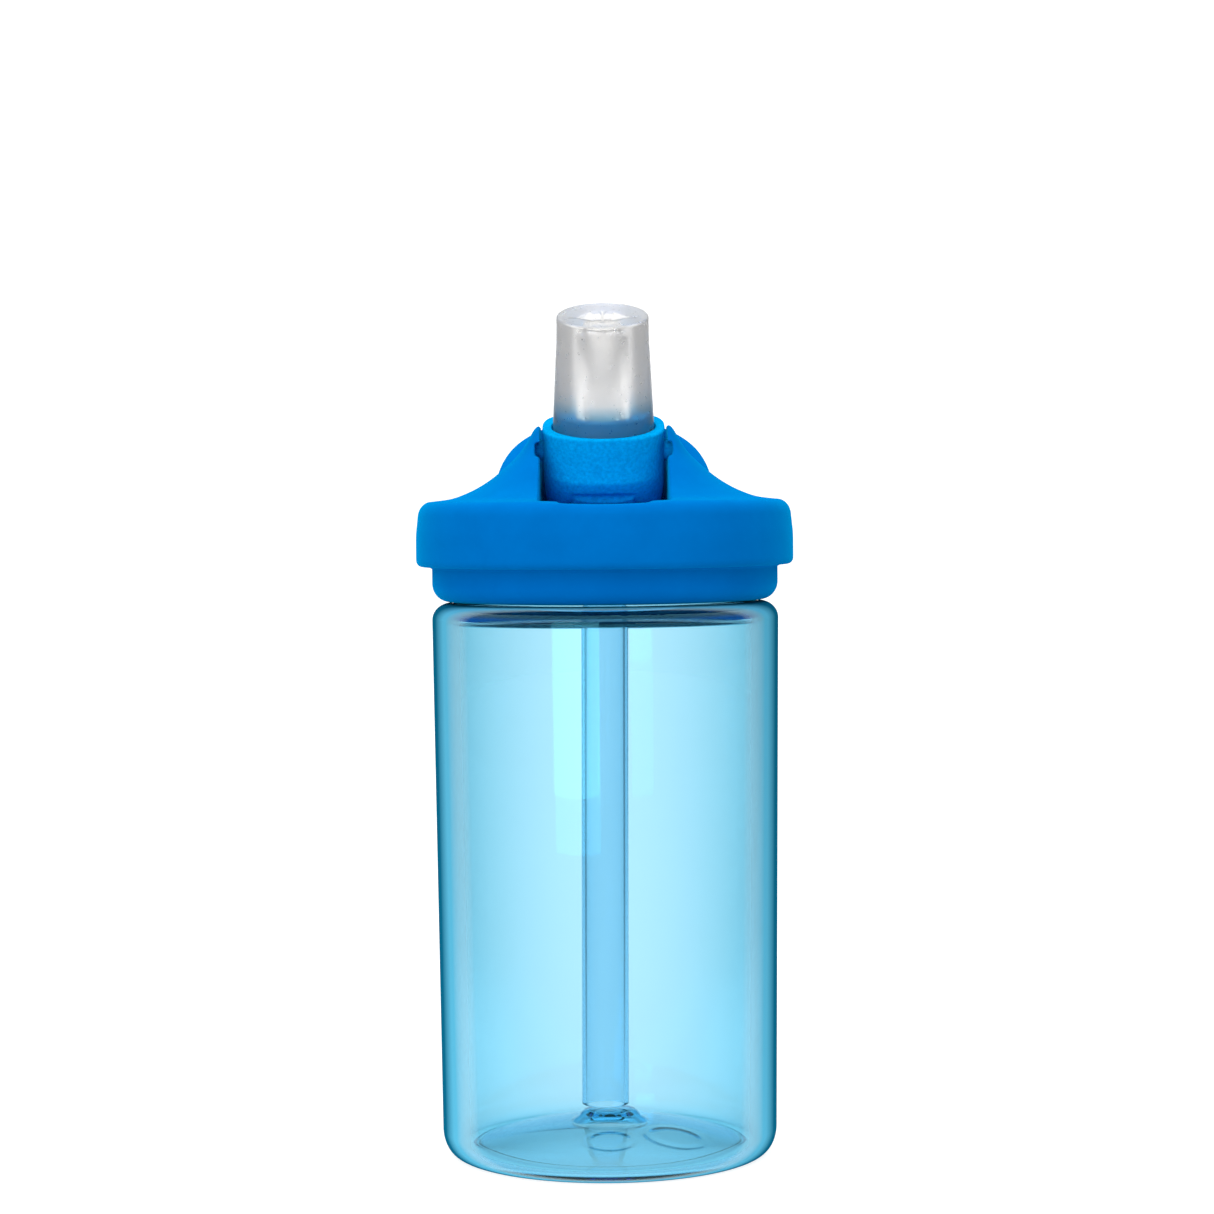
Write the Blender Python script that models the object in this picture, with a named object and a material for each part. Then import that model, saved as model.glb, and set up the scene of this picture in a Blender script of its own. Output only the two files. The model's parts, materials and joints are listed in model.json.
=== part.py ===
"""Straw water bottle with a screw lid, a fixed carry loop and a spout that folds down.

The bottle's axis is Z, the floor is z = 0 and the front is -Y. Sizes are in
millimetres and MM turns them into metres. The spout is open and leans forward.
Its two sub-parts are modelled about the hinge and share an empty placed on it.
"""

import math

import bmesh
import bpy
from mathutils import Matrix, Vector

MM = 0.001
ROUND, SMALL_ROUND = 40, 24  # segments of large and of small turned pieces
GAP = 0.3  # between touching pieces
BEYOND = 60.0  # how far a tool runs on past the sub-part that it cuts

# Bottle
BODY_R, FOOT_R = 36.95, 35.6  # at the shoulder and at the heel
WALL, FLOOR = 1.7, 2.0
SHOULDER_Z, SHOULDER_TOP_Z, SHOULDER_R = 113.6, 117.2, 3.8
INNER_SHOULDER_R, INNER_SHOULDER_RISE = 4.6, 3.0
INNER_HEEL_R, INNER_HEEL_Z = 28.6, 8.2
STAND_R_IN, STAND_R_OUT, HEEL_Z = 29.0, 32.0, 5.6
DOME_Z, DOME_R = 7.0, 88.0  # crown and radius of the pushed-up floor
NUB_R, NUB_TOP_R, NUB_Z = 7.4, 4.4, 9.0  # boss at its centre
NECK_R, NECK_BORE_R, NECK_TOP_Z, NECK_EDGE = 31.0, 29.0, 129.4, 0.4

# Screw thread between the neck and the inner cap
LEAD, THREAD_H = 4.5, 1.5
THREAD_ROOT, THREAD_CREST = 2.2, 1.0  # axial widths
MALE_Z, MALE_TURNS = 121.4, 1.2
FEMALE_Z, FEMALE_TURNS, FEMALE_R = 119.7, 1.0, 33.0

# Inner cap
SKIRT_Z, SKIRT_R, SKIRT_CORNER_Z, SKIRT_CORNER = 117.6, 36.9, 121.4, 3.5
FLUTE_R_IN, FLUTE_R_OUT, FLUTE_Z = 34.7, 35.7, 120.4  # moat between the skirt's two walls
DECK_Z, DECK_TOP_Z = 131.7, 133.5
LINER_R, BEAD_R, BEAD_Z, BEAD_HALF = 37.6, 38.2, 130.0, 1.0  # snap bead into the collar
LIP_R_IN, LIP_R_OUT, LIP_Z = 26.4, 27.5, 130.2  # lip that centres the gasket
GASKET_R_IN, GASKET_R_OUT = 27.9, 32.6
PORT_TOP_Z, PORT_R, PORT_BORE_R = 136.0, 7.4, 3.0
SEAL_R, SEAL_Z = 5.6, 134.3
SOCKET_Z, SOCKET_TOP_Z, SOCKET_R, SOCKET_BORE_R = 121.0, 131.0, 6.8, 5.3
STRAW_R, STRAW_BORE_R, STRAW_Z, STRAW_TOP_Z = 5.0, 4.0, 10.0, 130.7
VENT_Y, VENT_HOLE_R = 20.0, 1.3
FLAP_R, FLAP_Z, VENT_STEM_R, BULB_R, BULB_Z = 4.2, 131.4, 1.0, 1.9, 133.8

# Cap shell: collar and saddle
COLLAR_Z, COLLAR_TOP_Z, COLLAR_R, COLLAR_BORE_R = 125.0, 138.9, 40.3, 38.0
CROWN_Z, CROWN_R = 135.4, 3.0  # rounded top edge of the collar
SHELL_DECK_Z = DECK_TOP_Z + GAP
SKIN, CHEEK = 2.0, 3.4
# Saddle sections: height, half width, reach to the front, reach to the back, squareness
SADDLE = (
    (138.92, 36.4, 36.2, 36.4, 2.0),
    (139.4, 32.8, 31.6, 32.6, 2.2),
    (140.3, 30.0, 28.4, 29.6, 2.4),
    (141.9, 26.6, 24.0, 26.2, 2.7),
    (144.4, 22.9, 19.2, 22.6, 3.1),
    (148.5, 18.4, 13.8, 19.0, 3.6),
    (151.6, 16.2, 11.0, 17.4, 4.0),
    (153.6, 15.1, 9.6, 16.6, 4.0),
    (154.6, 14.3, 8.4, 15.8, 4.0),
    (154.95, 13.5, 7.4, 15.1, 4.0),
)
POCKET_X, POCKET_FLOOR_Z, POCKET_R, POCKET_BACK_Y = 13.6, 135.4, 35.6, 13.7
POCKET_CORNER = 4.0
FRONT_SAG, SCOOP_R, SCOOP_Y = 0.75, 150.0, -34.5  # the collar's front edge dips a little

# Carry loop, a ring in a plane that rises to the back
LOOP_Y, LOOP_Z, LOOP_TILT = 20.7, 143.6, math.radians(33)
LOOP_R, LOOP_HALF_W, LOOP_HALF_T = 20.0, 3.1, 2.5
LOOP_END, LOOP_POWER = math.radians(-15), 2.6

# Spout, about the hinge axis along X
HINGE_Z, LEAN = 149.7, math.radians(15)
BARREL_R, BARREL_W, SPOUT_POWERS = 13.1, -13.0, (2.3, 3.3)
RING_WS = (-12.6, -11.8, -10.6, -9.0, -7.0, -5.4, -4.3, -3.0, -1.5, 1.8)
SPOUT_HALF_X = 12.8
RIM_SPREAD, SPREAD_W, FOOT_TUCK, TUCK_W = 0.35, -1.0, 1.2, -6.0  # wider rim, narrower foot
FACE_REACH, FACE_FLARE, FLARE_W, FLARE_RUN = 12.02, 0.28, -0.5, 4.0  # panel and its flared foot
RIM_EDGE, RIM_EDGE_SIZE = 0.7, 0.945
UNDERCUT_R, UNDERCUT_DROP, PAD_HALF_X, PAD_HALF_Y = 12.0, 10.1, 6.3, 6.5
RIM_W, SPOUT_FLOOR_W, RIM_BORE_R = 5.2, -1.5, 11.15
STEM_R, STEM_BORE_R, STEM_W = 7.0, 3.0, 7.5
PIN_ROOT_X = 11.75
PIN_R, PIN_HOLE_R, PIN_X, PIN_HOLE_X = 2.2, 2.5, 15.3, 15.6
GROOVE_HALF, GROOVE_X = 1.5, 14.6

# Bite valve
VALVE_W, VALVE_TOP_W, VALVE_R, VALVE_TOP_R = -1.2, 29.3, 10.8, 9.75
VALVE_BORE_R, VALVE_LIP, VALVE_EDGE, CROWN_DEPTH = 4.0, 2.6, 0.8, 4.5
VALVE_SLANT = math.tan(math.radians(4.5))
SLIT_HALF, SLIT_HALF_W, SLIT_DEPTH = 3.4, 0.3, 6.0


def clear_scene():
    for old in list(bpy.data.objects):
        bpy.data.objects.remove(old)


def material(name, colour, roughness, alpha=1.0):
    made = bpy.data.materials.new(name)
    made.use_nodes = True
    shader = made.node_tree.nodes["Principled BSDF"]
    shader.inputs["Base Color"].default_value = (*colour, 1.0)
    shader.inputs["Roughness"].default_value = roughness
    shader.inputs["Metallic"].default_value = 0.0
    shader.inputs["Alpha"].default_value = alpha
    return made


def object_of(name, data, finish=None):
    """An object from a bmesh, shaded smooth. Without a finish it is a helper and not a node."""
    bmesh.ops.recalc_face_normals(data, faces=data.faces)
    mesh = bpy.data.meshes.new(name)
    data.to_mesh(mesh)
    data.free()
    mesh.shade_smooth()
    mesh.set_sharp_from_angle(angle=math.radians(35))
    made = bpy.data.objects.new(name, mesh)
    bpy.context.scene.collection.objects.link(made)
    if finish:
        mesh.materials.append(finish)
    else:
        made.hide_render = True
        made.display_type = "WIRE"
    return made


def turned(profile, steps=ROUND):
    """A bmesh turned about Z from (radius, height) points: a loop, or a line from axis to axis."""
    data = bmesh.new()
    points = [data.verts.new((r * MM, 0, z * MM)) for r, z in profile]
    on_axis = profile[0][0] == 0 and profile[-1][0] == 0
    ends = points[1:] if on_axis else points[1:] + points[:1]
    edges = [data.edges.new(pair) for pair in zip(points, ends)]
    bmesh.ops.spin(
        data,
        geom=points + edges,
        cent=(0, 0, 0),
        axis=(0, 0, 1),
        angle=2 * math.pi,
        steps=steps,
        use_merge=True,
    )
    bmesh.ops.remove_doubles(data, verts=data.verts, dist=1e-6)
    return data


def lofted(rings):
    """A bmesh skinned over rings of points in millimetres, with both ends capped."""
    data = bmesh.new()
    made = [[data.verts.new(Vector(p) * MM) for p in ring] for ring in rings]
    for one, two in zip(made, made[1:]):
        for i, corner in enumerate(one):
            j = (i + 1) % len(one)
            data.faces.new((corner, one[j], two[j], two[i]))
    data.faces.new(made[0])
    data.faces.new(made[-1])
    return data


def prism(outline, low, high, axis="Z"):
    """A bmesh of an outline drawn across an axis and extruded along it from low to high."""
    place = {
        "X": lambda u, v, t: (t, u, v),
        "Y": lambda u, v, t: (u, t, v),
        "Z": lambda u, v, t: (u, v, t),
    }[axis]
    return lofted([[place(u, v, t) for u, v in outline] for t in (low, high)])


def box(low, high):
    return prism(rectangle(low[0], low[1], high[0], high[1]), low[2], high[2])


def rectangle(u0, v0, u1, v1):
    return [(u0, v0), (u1, v0), (u1, v1), (u0, v1)]


def arc(centre, radii, start, end, steps):
    """Points of an elliptical arc, angles in degrees, both ends included."""
    angles = [math.radians(start + (end - start) * k / steps) for k in range(steps + 1)]
    return [(centre[0] + radii[0] * math.cos(a), centre[1] + radii[1] * math.sin(a)) for a in angles]


def oval(half_x, front, back, powers, steps=ROUND):
    """A closed superellipse with its own reach and squareness to -Y and to +Y."""
    found = []
    for k in range(steps):
        a = 2 * math.pi * (k + 0.5) / steps
        c, s = math.cos(a), math.sin(a)
        depth, power = (back, powers[1]) if s > 0 else (front, powers[0])
        x = half_x * math.copysign(abs(c) ** (2 / power), c)
        y = depth * math.copysign(abs(s) ** (2 / power), s)
        found.append((x, y))
    return found


def rod(radius, low, high, axis="Z", steps=SMALL_ROUND, at=(0, 0)):
    """A bmesh of a round bar. at is where its centre line crosses the other two axes."""
    return prism(arc(at, (radius, radius), 0, 360, steps)[:-1], low, high, axis)


def boolean(target, name, data, operation):
    other = object_of(name, data)
    other.parent = target
    step = target.modifiers.new(name, "BOOLEAN")
    step.operation = operation
    step.object = other
    step.solver = "EXACT"
    return other


def cut(target, name, data):
    return boolean(target, name, data, "DIFFERENCE")


def add(target, name, data):
    return boolean(target, name, data, "UNION")


def thread_ridge(radius, outward, start_z, turns, steps=40):
    """A trapezoid ridge on a helix, rooted just inside the wall, with tapered ends."""
    root = radius - outward * 0.4
    count = round(steps * turns)
    rings = []
    for k in range(count + 1):
        a = 2 * math.pi * turns * k / count
        middle = start_z + LEAD * turns * k / count
        swell = min(1.0, 0.15 + 8 * min(k, count - k) / count)
        crest = radius + outward * THREAD_H * swell
        section = (
            (root, middle - THREAD_ROOT / 2),
            (crest, middle - THREAD_CREST / 2),
            (crest, middle + THREAD_CREST / 2),
            (root, middle + THREAD_ROOT / 2),
        )
        rings.append([(r * math.cos(a), r * math.sin(a), z) for r, z in section])
    return lofted(rings)


def floor_z(radius):
    """Height of the inner face of the pushed-up floor."""
    return DOME_Z - (DOME_R - math.sqrt(DOME_R**2 - radius**2))


def bottle_body(finish):
    """Clear bottle: pushed-up floor with a centre boss, heel, wall, shoulder and threaded neck."""
    dome = (9.0, 15.0, 21.5, 27.0)
    heel = arc((STAND_R_OUT, HEEL_Z), (FOOT_R - STAND_R_OUT, HEEL_Z), -90, 0, 5)
    rise = SHOULDER_TOP_Z - SHOULDER_Z
    shoulder = arc((BODY_R - SHOULDER_R, SHOULDER_Z), (SHOULDER_R, rise), 0, 90, 5)
    centre = (BODY_R - WALL - INNER_SHOULDER_R, SHOULDER_Z - 0.9)
    inner_top = arc(centre, (INNER_SHOULDER_R, INNER_SHOULDER_RISE), 90, 0, 4)
    radii = (FOOT_R - WALL - INNER_HEEL_R, INNER_HEEL_Z - floor_z(INNER_HEEL_R))
    inner_heel = arc((INNER_HEEL_R, INNER_HEEL_Z), radii, 0, -90, 4)
    outside = [(0, NUB_Z - FLOOR), (NUB_TOP_R - 1, NUB_Z - FLOOR), (NUB_R - 1.2, DOME_Z - FLOOR)]
    outside += [(r, floor_z(r) - FLOOR) for r in dome]
    outside += [(STAND_R_IN - 0.4, 0.2), (STAND_R_IN, 0)]
    outside += heel + shoulder
    outside += [(NECK_R + 0.8, SHOULDER_TOP_Z + 0.1), (NECK_R, SHOULDER_TOP_Z + 0.8)]
    outside += [(NECK_R, NECK_TOP_Z - NECK_EDGE), (NECK_R - NECK_EDGE, NECK_TOP_Z)]
    inside = [(NECK_BORE_R + NECK_EDGE, NECK_TOP_Z), (NECK_BORE_R, NECK_TOP_Z - NECK_EDGE)]
    inside += [(NECK_BORE_R, SHOULDER_TOP_Z - 1.0)]
    inside += inner_top + inner_heel
    inside += [(r, floor_z(r)) for r in reversed(dome)]
    inside += [(NUB_R, DOME_Z), (NUB_TOP_R + 1, NUB_Z - 0.3), (NUB_TOP_R, NUB_Z), (0, NUB_Z)]
    body = object_of("bottle_body", turned(outside + inside), finish)
    add(body, "neck_thread", thread_ridge(NECK_R, 1, MALE_Z, MALE_TURNS))


def inner_cap(finish):
    """Threaded liner. Its skirt shows under the collar, and it holds the gasket, seal and straw."""
    profile = [(SOCKET_BORE_R, SOCKET_Z), (SOCKET_BORE_R, SOCKET_TOP_Z)]
    profile += [(PORT_BORE_R, SOCKET_TOP_Z), (PORT_BORE_R, SEAL_Z - GAP)]
    profile += [(SEAL_R + GAP, SEAL_Z - GAP), (SEAL_R + GAP, PORT_TOP_Z), (PORT_R, PORT_TOP_Z)]
    profile += [(PORT_R, DECK_TOP_Z), (FLUTE_R_IN, DECK_TOP_Z), (FLUTE_R_IN, FLUTE_Z)]
    profile += [(FLUTE_R_OUT - 0.4, FLUTE_Z), (FLUTE_R_OUT, FLUTE_Z + 2), (FLUTE_R_OUT, DECK_TOP_Z)]
    profile += [(LINER_R, DECK_TOP_Z), (LINER_R, BEAD_Z + BEAD_HALF)]
    profile += [(BEAD_R, BEAD_Z + 0.3), (BEAD_R, BEAD_Z - 0.3), (LINER_R, BEAD_Z - BEAD_HALF)]
    profile += [(LINER_R, COLLAR_Z + 0.2), (LINER_R - 0.4, COLLAR_Z - 0.4)]
    centre = (SKIRT_R - SKIRT_CORNER, SKIRT_CORNER_Z)
    profile += arc(centre, (SKIRT_CORNER, SKIRT_CORNER_Z - SKIRT_Z), 0, -90, 5)
    profile += [(FEMALE_R, SKIRT_Z + 0.4), (FEMALE_R, DECK_Z), (LIP_R_OUT, DECK_Z)]
    profile += [(LIP_R_OUT, LIP_Z), (LIP_R_IN, LIP_Z), (LIP_R_IN, DECK_Z)]
    profile += [(SOCKET_R, DECK_Z), (SOCKET_R, SOCKET_Z)]
    cap = object_of("inner_cap", turned(profile), finish)
    add(cap, "cap_thread", thread_ridge(FEMALE_R, -1, FEMALE_Z, FEMALE_TURNS))
    cut(cap, "vent_hole", rod(VENT_HOLE_R, DECK_Z - 3, DECK_TOP_Z + 3, steps=16, at=(0, VENT_Y)))


def lid_gasket(finish):
    """Flat silicone ring under the deck, which presses on the neck's rim."""
    low, high, edge = NECK_TOP_Z + GAP, DECK_Z - GAP, 0.3
    profile = [(GASKET_R_IN, low + edge), (GASKET_R_IN + edge, low), (GASKET_R_OUT - edge, low)]
    profile += [(GASKET_R_OUT, low + edge), (GASKET_R_OUT, high), (GASKET_R_IN, high)]
    object_of("lid_gasket", turned(profile), finish)


def straw(finish):
    """Tube from its socket in the lid almost to the floor."""
    profile = [(STRAW_BORE_R, STRAW_Z), (STRAW_R, STRAW_Z)]
    profile += [(STRAW_R, STRAW_TOP_Z), (STRAW_BORE_R, STRAW_TOP_Z)]
    object_of("straw", turned(profile, SMALL_ROUND), finish)


def spout_seal(finish):
    """Silicone ring in the port, hollowed on top to the barrel's curve."""
    top = PORT_TOP_Z + 4
    profile = [(PORT_BORE_R, SEAL_Z), (SEAL_R, SEAL_Z), (SEAL_R, top), (PORT_BORE_R, top)]
    seal = object_of("spout_seal", turned(profile, SMALL_ROUND), finish)
    cut(seal, "seal_hollow", rod(BARREL_R + GAP, -BEYOND, BEYOND, "X", 96, (0, HINGE_Z)))


def vent_valve(finish):
    """Umbrella valve: a thin disc under the deck, on a stem with a bulb above it."""
    profile = [(0, FLAP_Z - 1.3), (1.2, FLAP_Z - 1.3), (FLAP_R, FLAP_Z - 0.3), (FLAP_R, FLAP_Z)]
    profile += [(VENT_STEM_R, FLAP_Z), (VENT_STEM_R, BULB_Z), (BULB_R, BULB_Z)]
    profile += [(BULB_R - 0.6, BULB_Z + 1.2), (0, BULB_Z + 1.5)]
    valve = object_of("vent_valve", turned(profile, 20), finish)
    valve.location = (0, VENT_Y * MM, 0)


def bell(foot_z, inset, rise):
    """The saddle as a solid bell, or, set in from its skin, as the hollow under it."""
    stations = [(foot_z, *SADDLE[0][1:])] + list(SADDLE)
    rings = []
    for z, half_x, front, back, power in stations:
        ring = oval(half_x - inset, front - inset, back - inset, (power, power))
        height = z if z == foot_z else z - rise
        rings.append([(x, y, height) for x, y in ring])
    return lofted(rings)


def loop_ring():
    """The carry loop: a rounded bar swept round the rear of a tilted circle."""
    rings = []
    steps = 30
    for k in range(steps + 1):
        a = LOOP_END + (math.pi - 2 * LOOP_END) * k / steps
        section = oval(LOOP_HALF_W, LOOP_HALF_T, LOOP_HALF_T, (LOOP_POWER, LOOP_POWER), 14)
        ring = []
        for u, w in section:
            reach = LOOP_R + u
            x = reach * math.cos(a)
            v = reach * math.sin(a)
            y = LOOP_Y + v * math.cos(LOOP_TILT) - w * math.sin(LOOP_TILT)
            z = LOOP_Z + v * math.sin(LOOP_TILT) + w * math.cos(LOOP_TILT)
            ring.append((x, y, z))
        rings.append(ring)
    return lofted(rings)


def pocket():
    """The space that the spout turns in, open to the top."""
    corner = math.degrees(math.asin(POCKET_X / POCKET_R))
    outline = arc((0, 0), (POCKET_R, POCKET_R), -90 - corner, -90 + corner, 10)
    x, y = POCKET_X - POCKET_CORNER, POCKET_BACK_Y - POCKET_CORNER
    outline += arc((x, y), (POCKET_CORNER, POCKET_CORNER), 0, 90, 4)
    outline += arc((-x, y), (POCKET_CORNER, POCKET_CORNER), 90, 180, 4)
    return prism(outline, POCKET_FLOOR_Z, POCKET_FLOOR_Z + BEYOND)


def cap_shell(finish):
    """Collar, saddle with the spout's pocket and hinge holes, and the carry loop."""
    bore, foot, groove = COLLAR_BORE_R, 1.2, BEAD_Z - 0.2
    profile = [(0, SHELL_DECK_Z), (bore, SHELL_DECK_Z), (bore, groove + 1.8)]
    profile += [(bore + 0.5, groove + 1.2), (bore + 0.5, groove - 0.8), (bore, groove - 1.4)]
    profile += [(bore, COLLAR_Z + 0.4), (bore + 0.3, COLLAR_Z)]
    profile += arc((COLLAR_R - foot, COLLAR_Z + foot), (foot, foot), -90, 0, 3)
    profile += [(COLLAR_R, BEAD_Z + 0.8)]
    centre = (COLLAR_R - CROWN_R - 0.4, CROWN_Z)
    profile += arc(centre, (CROWN_R, COLLAR_TOP_Z - CROWN_Z), 0, 90, 6)
    profile += [(POCKET_R - 0.6, COLLAR_TOP_Z - 0.3), (0, COLLAR_TOP_Z - 0.3)]
    shell = object_of("cap_shell", turned(profile, 52), finish)
    add(shell, "saddle", bell(SHELL_DECK_Z + 3, 0, 0))
    hollow = cut(shell, "saddle_hollow", bell(SHELL_DECK_Z - 2, SKIN + 0.2, SKIN))
    wall_x, wall_y = POCKET_X + CHEEK, POCKET_BACK_Y + SKIN
    low, high = SHELL_DECK_Z - BEYOND, SHELL_DECK_Z + BEYOND
    cut(hollow, "tub", box((-wall_x, -BEYOND, low), (wall_x, wall_y, high)))
    add(shell, "carry_loop", loop_ring())
    cut(shell, "pocket", pocket())
    scoop_z = COLLAR_TOP_Z - FRONT_SAG + SCOOP_R
    cut(shell, "front_scoop", rod(SCOOP_R, -BEYOND, SCOOP_Y, "Y", 256, (0, scoop_z)))
    cut(shell, "port_hole", rod(PORT_R + GAP, SHELL_DECK_Z - 3, POCKET_FLOOR_Z + 2, steps=32))
    cut(shell, "hinge_holes", rod(PIN_HOLE_R, -PIN_HOLE_X, PIN_HOLE_X, "X", 24, (0, HINGE_Z)))
    low, high = HINGE_Z - GROOVE_HALF, HINGE_Z + GROOVE_HALF
    cut(shell, "pin_grooves", box((-GROOVE_X, -BEYOND, low), (GROOVE_X, 0, high)))


def spout_ring(w, size=1.0):
    """Outline of the spout at a height above the hinge, kept inside the circle that it turns in."""
    reach = math.sqrt(BARREL_R**2 - w**2)
    flare = FACE_FLARE * min(1.0, max(0.0, (FLARE_W - w) / FLARE_RUN)) ** 2
    face = min(reach, FACE_REACH + flare)
    spread = RIM_SPREAD * max(0.0, (w - SPREAD_W) / (RIM_W - SPREAD_W)) ** 2
    tuck = FOOT_TUCK * max(0.0, (w - TUCK_W) / (BARREL_W - TUCK_W)) ** 2
    plan = oval(SPOUT_HALF_X + spread - tuck, face, reach, SPOUT_POWERS)
    return [(x * size, y * size, w) for x, y in plan]


def upright(data):
    """Turns a tool back, so that once the spout leans it is square to the bottle."""
    bmesh.ops.rotate(data, cent=(0, 0, 0), matrix=Matrix.Rotation(-LEAN, 3, "X"), verts=data.verts)
    return data


def flip_spout(finish, hinge):
    """Barrel that turns between the cheeks, with a rim for the valve, a stem and two pins."""
    rings = [spout_ring(w) for w in (BARREL_W, *RING_WS, RIM_W - RIM_EDGE)]
    rings.append(spout_ring(RIM_W, RIM_EDGE_SIZE))
    spout = object_of("flip_spout", lofted(rings), finish)
    waste = cut(spout, "undercut", rod(BARREL_R + 2, -20, 20, "X", 96))
    cut(waste, "undercut_core", rod(UNDERCUT_R, -22, 22, "X", 96))
    cut(waste, "pad", upright(box((-PAD_HALF_X, -PAD_HALF_Y, -BEYOND), (PAD_HALF_X, PAD_HALF_Y, 0))))
    low, high = (-BEYOND, -BEYOND, -UNDERCUT_DROP), (BEYOND, BEYOND, BEYOND)
    cut(waste, "undercut_top", upright(box(low, high)))
    cut(spout, "rim_bore", rod(RIM_BORE_R, SPOUT_FLOOR_W, BEYOND, steps=ROUND))
    add(spout, "stem", rod(STEM_R, SPOUT_FLOOR_W - 1, STEM_W, steps=32))
    add(spout, "pin_right", rod(PIN_R, PIN_ROOT_X, PIN_X, "X", 24))
    add(spout, "pin_left", rod(PIN_R, -PIN_X, -PIN_ROOT_X, "X", 24))
    cut(spout, "stem_bore", rod(STEM_BORE_R, SPOUT_FLOOR_W - 0.5, BEYOND, steps=24))
    cut(spout, "port_bore", upright(rod(STEM_BORE_R, -BEYOND, 1.5, steps=24)))
    spout.parent = hinge


def bite_valve(finish, hinge):
    """Soft mouthpiece with a slanted top and a cross slit over its bore."""
    edge, under = VALVE_EDGE, VALVE_TOP_W - VALVE_LIP
    profile = [(STEM_R + GAP, VALVE_W), (VALVE_R, VALVE_W), (VALVE_R, RIM_W)]
    profile += [(VALVE_TOP_R, VALVE_TOP_W - edge)]
    profile += arc((VALVE_TOP_R - edge, VALVE_TOP_W - edge), (edge, edge), 25, 90, 3)
    profile += [(0, VALVE_TOP_W), (0, under), (VALVE_BORE_R - 1, under), (VALVE_BORE_R, under - 1)]
    profile += [(VALVE_BORE_R, STEM_W + 1.6), (STEM_R + GAP, STEM_W + GAP)]
    data = turned(profile)
    for corner in data.verts:
        if corner.co.z > (VALVE_TOP_W - CROWN_DEPTH) * MM:
            corner.co.z += corner.co.y * VALVE_SLANT
    valve = object_of("bite_valve", data, finish)
    long, thin = SLIT_HALF, SLIT_HALF_W
    low, high = VALVE_TOP_W - SLIT_DEPTH, VALVE_TOP_W + 4
    slit = cut(valve, "slit", box((-long, -thin, low), (long, thin, high)))
    add(slit, "cross_slit", box((-thin, -long, low - 1), (thin, long, high + 1)))
    valve.parent = hinge


def main():
    clear_scene()
    clear_blue = material("tinted_plastic", (0.30, 0.72, 0.90), 0.06, 0.35)
    lid_blue = material("lid_plastic", (0.0, 0.16, 0.58), 0.33)
    liner_blue = material("liner_plastic", (0.0, 0.14, 0.52), 0.36)
    spout_blue = material("spout_plastic", (0.0, 0.17, 0.62), 0.5)
    clear = material("straw_plastic", (0.72, 0.86, 0.92), 0.15, 0.5)
    frosted = material("valve_silicone", (0.72, 0.72, 0.71), 0.45, 0.9)
    bottle_body(clear_blue)
    inner_cap(liner_blue)
    cap_shell(lid_blue)
    hinge = bpy.data.objects.new("spout_hinge", None)
    bpy.context.scene.collection.objects.link(hinge)
    hinge.location = (0, 0, HINGE_Z * MM)
    hinge.rotation_euler = (LEAN, 0, 0)
    flip_spout(spout_blue, hinge)
    bite_valve(frosted, hinge)
    straw(clear)
    lid_gasket(material("gasket_silicone", (0.62, 0.63, 0.63), 0.5))
    spout_seal(material("seal_silicone", (0.60, 0.61, 0.62), 0.5))
    vent_valve(material("vent_silicone", (0.65, 0.66, 0.66), 0.5))


main()
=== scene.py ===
"""Looks of the straw bottle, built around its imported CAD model.

Shapes are in millimetres, about the bottle's axis, and MM turns them into metres. The
spout's two pieces are drawn about the hinge, upright, and then leaned forward.
"""

import json
import math

import bmesh
import bpy
import numpy as np
from mathutils import Matrix, Vector


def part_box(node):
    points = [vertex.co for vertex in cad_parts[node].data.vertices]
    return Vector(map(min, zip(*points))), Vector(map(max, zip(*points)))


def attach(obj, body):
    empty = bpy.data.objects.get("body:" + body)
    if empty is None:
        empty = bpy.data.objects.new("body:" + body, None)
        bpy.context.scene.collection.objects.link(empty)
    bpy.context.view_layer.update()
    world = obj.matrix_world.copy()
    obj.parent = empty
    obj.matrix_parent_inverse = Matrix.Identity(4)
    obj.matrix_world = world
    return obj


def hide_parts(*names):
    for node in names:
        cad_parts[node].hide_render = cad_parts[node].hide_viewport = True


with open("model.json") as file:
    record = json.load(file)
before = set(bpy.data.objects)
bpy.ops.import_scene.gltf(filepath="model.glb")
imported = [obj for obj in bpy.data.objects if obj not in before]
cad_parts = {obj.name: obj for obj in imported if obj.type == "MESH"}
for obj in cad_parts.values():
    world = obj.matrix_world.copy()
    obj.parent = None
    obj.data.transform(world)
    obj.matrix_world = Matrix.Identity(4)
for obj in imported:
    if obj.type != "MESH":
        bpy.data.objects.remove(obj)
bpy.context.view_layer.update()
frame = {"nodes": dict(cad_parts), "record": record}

MM = 0.001


def place(node, corner, axis):
    """One side of a CAD node's box, in millimetres."""
    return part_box(node)[corner][axis] / MM


hinge = next(j for j in frame["record"]["behaviour"]["joints"] if j["name"] == "spout_hinge")

# Places read from the frame
BODY_R = place("bottle_body", 1, 0)
NECK_TOP_Z = place("bottle_body", 1, 2)
SKIRT_Z = place("inner_cap", 0, 2)
PORT_TOP_Z = place("inner_cap", 1, 2)
COLLAR_Z = place("cap_shell", 0, 2)
COLLAR_R = place("cap_shell", 1, 0)
STRAW_R = place("straw", 1, 0)
STRAW_Z = place("straw", 0, 2)
STRAW_TOP_Z = place("straw", 1, 2)
HINGE_Z = hinge["pos_m"][2] / MM
PIN_X = place("flip_spout", 1, 0)

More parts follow.
